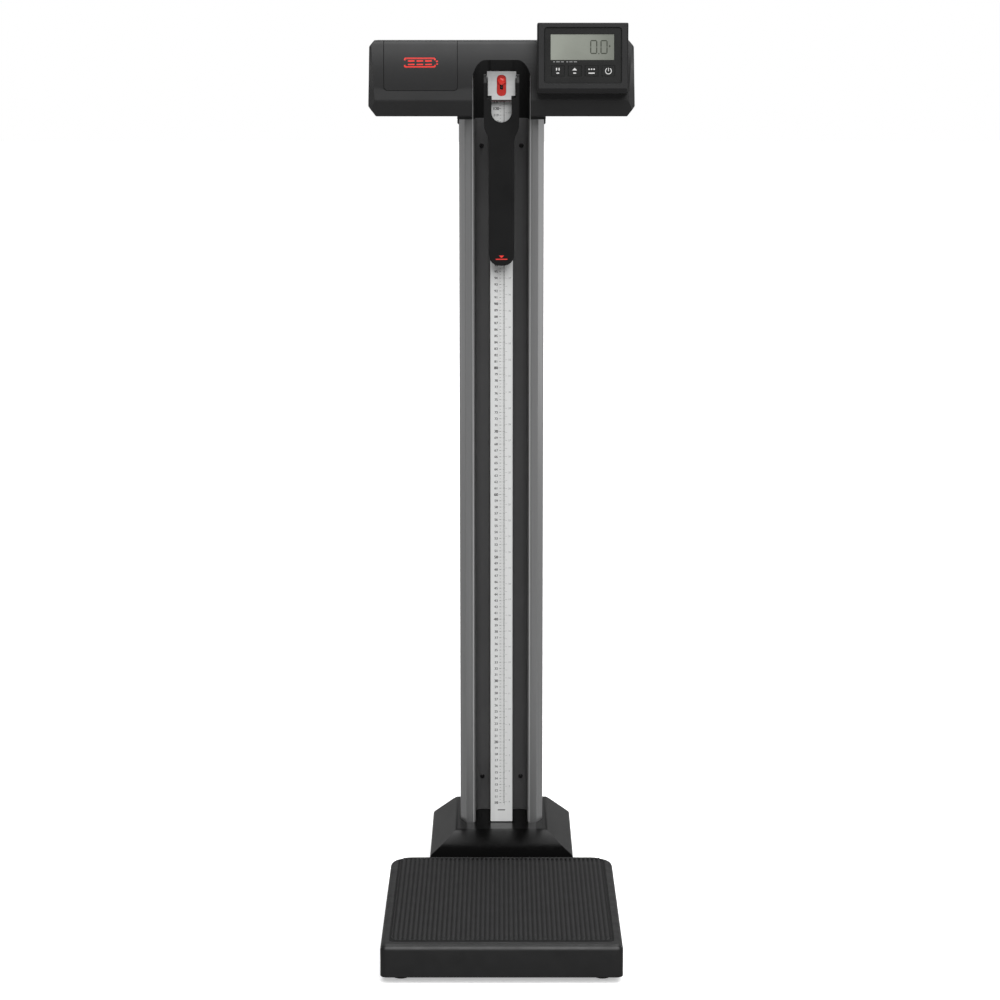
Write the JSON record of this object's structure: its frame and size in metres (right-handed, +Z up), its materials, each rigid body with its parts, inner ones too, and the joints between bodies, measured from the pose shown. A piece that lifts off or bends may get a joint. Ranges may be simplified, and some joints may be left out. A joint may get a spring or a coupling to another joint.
{
  "type": "column weighing scale with height rod",
  "caption": "Floor column scale: ribbed platform, grooved aluminium column, T-shaped head with tilted LCD, and a telescopic height rod with folding headpiece.",
  "frame": {"origin": "on the floor, under the middle of the whole footprint", "axes": "+Z up along the column; -Y is the side of the platform and the display; +X to the right seen from that side"},
  "size_m": [0.4054, 0.68, 1.3465],
  "materials": {
    "steel_plate": "satin zinc-plated sheet",
    "platform_paint": "dark charcoal powder coat, fine texture",
    "mat_rubber": "dark grey ribbed rubber, matte",
    "circuit_board": "green solder mask",
    "lead_jacket": "black jacket",
    "zinc": "bright zinc",
    "shroud_plastic": "satin-gloss black moulding",
    "anodised_column": "satin anodised, fine lengthwise grain",
    "liner_plastic": "dark grey satin section",
    "rule_anodised": "light satin anodised with printed marks",
    "slide_plastic": "black acetal",
    "rod_anodised": "satin anodised",
    "carriage_plastic": "black moulding",
    "plate_metal": "light satin",
    "red_plastic": "signal red",
    "red_button": "signal red, brighter",
    "spring_steel": "bright wire",
    "tongue_plastic": "black fine-grained moulding",
    "head_plastic": "charcoal fine-grained moulding",
    "tray_plastic": "black moulding",
    "black_screw": "black oxide",
    "socket_plastic": "black",
    "display_plastic": "charcoal moulding",
    "panel_plastic": "dark satin front film",
    "lcd_glass": "grey-green reflective display",
    "key_film": "embossed film",
    "cell_aluminium": "machined",
    "foot_rubber": "black",
    "wheel_rubber": "black tyre"
  },
  "bodies": {
    "root": {"base_frame": "steel_plate", "battery_tray": "tray_plastic", "channel_liner": "liner_plastic", "column_extrusion": "anodised_column", "column_foot": "steel_plate", "dc_socket": "socket_plastic", "display_back": "display_plastic", "display_housing": "display_plastic", "display_panel": "panel_plastic", "foot_shroud": "shroud_plastic", "head_front": "head_plastic", "head_rear": "head_plastic", "head_screw_left": "black_screw", "head_screw_right": "black_screw", "junction_board": "circuit_board", "lcd": "lcd_glass", "liner_screw_lower_left": "black_screw", "liner_screw_lower_right": "black_screw", "liner_screw_upper_left": "black_screw", "liner_screw_upper_right": "black_screw", "load_carrier": "steel_plate", "load_cell_front_left": "cell_aluminium", "load_cell_front_right": "cell_aluminium", "load_cell_rear_left": "cell_aluminium", "load_cell_rear_right": "cell_aluminium", "main_board": "circuit_board", "outer_rule": "rule_anodised", "platform_cover": "platform_paint", "platform_mat": "mat_rubber", "rod_guide": "slide_plastic", "rule_bracket_lower": "slide_plastic", "rule_bracket_upper": "slide_plastic", "signal_lead": "lead_jacket", "wheel_axle": "zinc"},
    "rod": {"inner_rod": "rod_anodised", "rod_glide": "slide_plastic", "rod_cap": "slide_plastic"},
    "carriage": {"slide_carriage": "carriage_plastic", "carriage_plate": "plate_metal", "button_track": "red_plastic", "hinge_pin_left": "zinc", "hinge_pin_right": "zinc"},
    "button": {"lock_button": "red_button", "lock_spring": "spring_steel"},
    "tongue": {"measuring_tongue": "tongue_plastic"},
    "battery_door": {"battery_cover": "head_plastic"},
    "key_hold": {"key_hold": "key_film"},
    "key_tare": {"key_tare": "key_film"},
    "key_mode": {"key_mode": "key_film"},
    "key_power": {"key_power": "key_film"},
    "wheel_left": {"transport_wheel_left": "wheel_rubber"},
    "wheel_right": {"transport_wheel_right": "wheel_rubber"},
    "pad_front_left": {"foot_pad_front_left": "foot_rubber"},
    "stud_front_left": {"foot_stud_front_left": "zinc"},
    "pad_front_right": {"foot_pad_front_right": "foot_rubber"},
    "stud_front_right": {"foot_stud_front_right": "zinc"},
    "pad_rear_left": {"foot_pad_rear_left": "foot_rubber"},
    "stud_rear_left": {"foot_stud_rear_left": "zinc"},
    "pad_rear_right": {"foot_pad_rear_right": "foot_rubber"},
    "stud_rear_right": {"foot_stud_rear_right": "zinc"}
  },
  "joints": [
    {"name": "rod_extend", "type": "slide", "parent": "root", "child": "rod", "axis": [0, 0, 1], "range_m": [0, 0.8]},
    {"name": "headpiece_slide", "type": "slide", "parent": "rod", "child": "carriage", "axis": [0, 0, 1], "range_m": [-0.61, 0]},
    {"name": "lock_button", "type": "slide", "parent": "carriage", "child": "button", "axis": [0, 0, -1], "range_m": [0, 0.01], "stiffness_N_per_m": 400, "springref_m": -0.004, "deforming": ["lock_spring"]},
    {"name": "tongue_fold", "type": "hinge", "parent": "carriage", "child": "tongue", "pos_m": [0, 0.179, 1.264], "axis": [-1, 0, 0], "range_deg": [0, 90]},
    {"name": "battery_door", "type": "hinge", "parent": "root", "child": "battery_door", "pos_m": [-0.12255, 0.1413, 1.245], "axis": [1, 0, 0], "range_deg": [0, 80]},
    {"name": "press_hold", "type": "slide", "parent": "root", "child": "key_hold", "axis": [0, 0.9978, -0.0662], "range_m": [0, 0.0005], "stiffness_N_per_m": 1500, "springref_m": -0.0003},
    {"name": "press_tare", "type": "slide", "parent": "root", "child": "key_tare", "axis": [0, 0.9978, -0.0662], "range_m": [0, 0.0005], "stiffness_N_per_m": 1500, "springref_m": -0.0003},
    {"name": "press_mode", "type": "slide", "parent": "root", "child": "key_mode", "axis": [0, 0.9978, -0.0662], "range_m": [0, 0.0005], "stiffness_N_per_m": 1500, "springref_m": -0.0003},
    {"name": "press_power", "type": "slide", "parent": "root", "child": "key_power", "axis": [0, 0.9978, -0.0662], "range_m": [0, 0.0005], "stiffness_N_per_m": 1500, "springref_m": -0.0003},
    {"name": "roll_left", "type": "hinge", "parent": "root", "child": "wheel_left", "pos_m": [-0.088, 0.306, 0.027], "axis": [1, 0, 0], "continuous": true},
    {"name": "roll_right", "type": "hinge", "parent": "root", "child": "wheel_right", "pos_m": [0.088, 0.306, 0.027], "axis": [1, 0, 0], "continuous": true},
    {"name": "level_front_left", "type": "slide", "parent": "root", "child": "pad_front_left", "axis": [0, 0, -1], "range_m": [0, 0.008]},
    {"name": "turn_front_left", "type": "hinge", "parent": "pad_front_left", "child": "stud_front_left", "pos_m": [-0.144, -0.304, 0.005], "axis": [0, 0, 1], "range_deg": [0, 1920]},
    {"name": "level_front_right", "type": "slide", "parent": "root", "child": "pad_front_right", "axis": [0, 0, -1], "range_m": [0, 0.008]},
    {"name": "turn_front_right", "type": "hinge", "parent": "pad_front_right", "child": "stud_front_right", "pos_m": [0.144, -0.304, 0.005], "axis": [0, 0, 1], "range_deg": [0, 1920]},
    {"name": "level_rear_left", "type": "slide", "parent": "root", "child": "pad_rear_left", "axis": [0, 0, -1], "range_m": [0, 0.008]},
    {"name": "turn_rear_left", "type": "hinge", "parent": "pad_rear_left", "child": "stud_rear_left", "pos_m": [-0.088, 0.236, 0.005], "axis": [0, 0, 1], "range_deg": [0, 1920]},
    {"name": "level_rear_right", "type": "slide", "parent": "root", "child": "pad_rear_right", "axis": [0, 0, -1], "range_m": [0, 0.008]},
    {"name": "turn_rear_right", "type": "hinge", "parent": "pad_rear_right", "child": "stud_rear_right", "pos_m": [0.088, 0.236, 0.005], "axis": [0, 0, 1], "range_deg": [0, 1920]}
  ],
  "couplings": [
    {"joint": "turn_front_left", "follows": "level_front_left", "rad_per_m": 4188.8},
    {"joint": "turn_front_right", "follows": "level_front_right", "rad_per_m": 4188.8},
    {"joint": "turn_rear_left", "follows": "level_rear_left", "rad_per_m": 4188.8},
    {"joint": "turn_rear_right", "follows": "level_rear_right", "rad_per_m": 4188.8}
  ]
}
